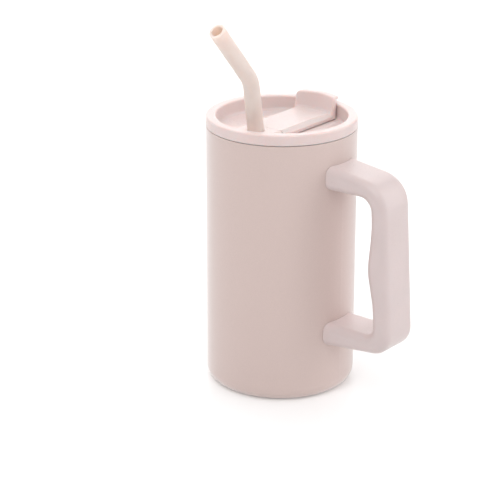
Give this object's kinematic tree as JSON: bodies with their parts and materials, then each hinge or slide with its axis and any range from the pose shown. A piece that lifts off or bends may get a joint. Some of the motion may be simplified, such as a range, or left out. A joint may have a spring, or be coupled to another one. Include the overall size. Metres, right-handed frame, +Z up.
{
  "type": "insulated straw mug",
  "caption": "Double-wall insulated mug with a large D handle, a push-in lid with a hinged sip flap, and a bent reusable straw.",
  "frame": {"origin": "centre of the flat foot ring, on the axis of the round body, at the surface it stands on", "axes": "+Z up along the body axis, +X towards the handle, +Y towards the lid's thumb tab; the straw stands on the -Y side"},
  "size_m": [0.1365, 0.111, 0.2362],
  "materials": {
    "powder_coat": "matt powder coat, pale dusty pink",
    "bare_steel": "fine brushed stainless steel",
    "handle_plastic": "satin moulded plastic, pale pink",
    "lid_plastic": "satin moulded plastic, lighter pale pink",
    "soft_seal": "translucent whitish silicone rubber",
    "soft_straw": "soft satin tube, slightly translucent pale pink"
  },
  "bodies": {
    "mug": {"outer_shell": "powder_coat", "inner_liner": "bare_steel", "liner_floor": "bare_steel", "outer_base": "bare_steel", "port_seal": "bare_steel", "getter_cup": "bare_steel", "base_cover": "bare_steel", "upper_bracket": "bare_steel", "lower_bracket": "bare_steel", "handle_shell": "handle_plastic", "handle_grip_cover": "handle_plastic", "handle_screws": "bare_steel", "screw_plugs": "handle_plastic"},
    "lid": {"lid_cover": "lid_plastic", "lid_base": "lid_plastic", "lid_seal": "soft_seal"},
    "grommet": {"straw_grommet": "soft_seal"},
    "straw": {"straw": "soft_straw"},
    "flap": {"flap": "lid_plastic", "flap_seal": "soft_seal", "hinge_pin": "bare_steel"}
  },
  "joints": [
    {"name": "lid_lift", "type": "slide", "parent": "mug", "child": "lid", "axis": [0, 0, 1], "range_m": [0, 0.17]},
    {"name": "flap_hinge", "type": "hinge", "parent": "lid", "child": "flap", "pos_m": [0, -0.0135, 0.1629], "axis": [1, 0, 0], "range_deg": [0, 90]},
    {"name": "straw_turn", "type": "hinge", "parent": "lid", "child": "grommet", "pos_m": [0, -0.0249, 0.1622], "axis": [0, -0.1478, 0.989], "range_deg": [-80, 80]},
    {"name": "straw_lift", "type": "slide", "parent": "grommet", "child": "straw", "axis": [0, -0.1478, 0.989], "range_m": [0, 0.14]}
  ]
}
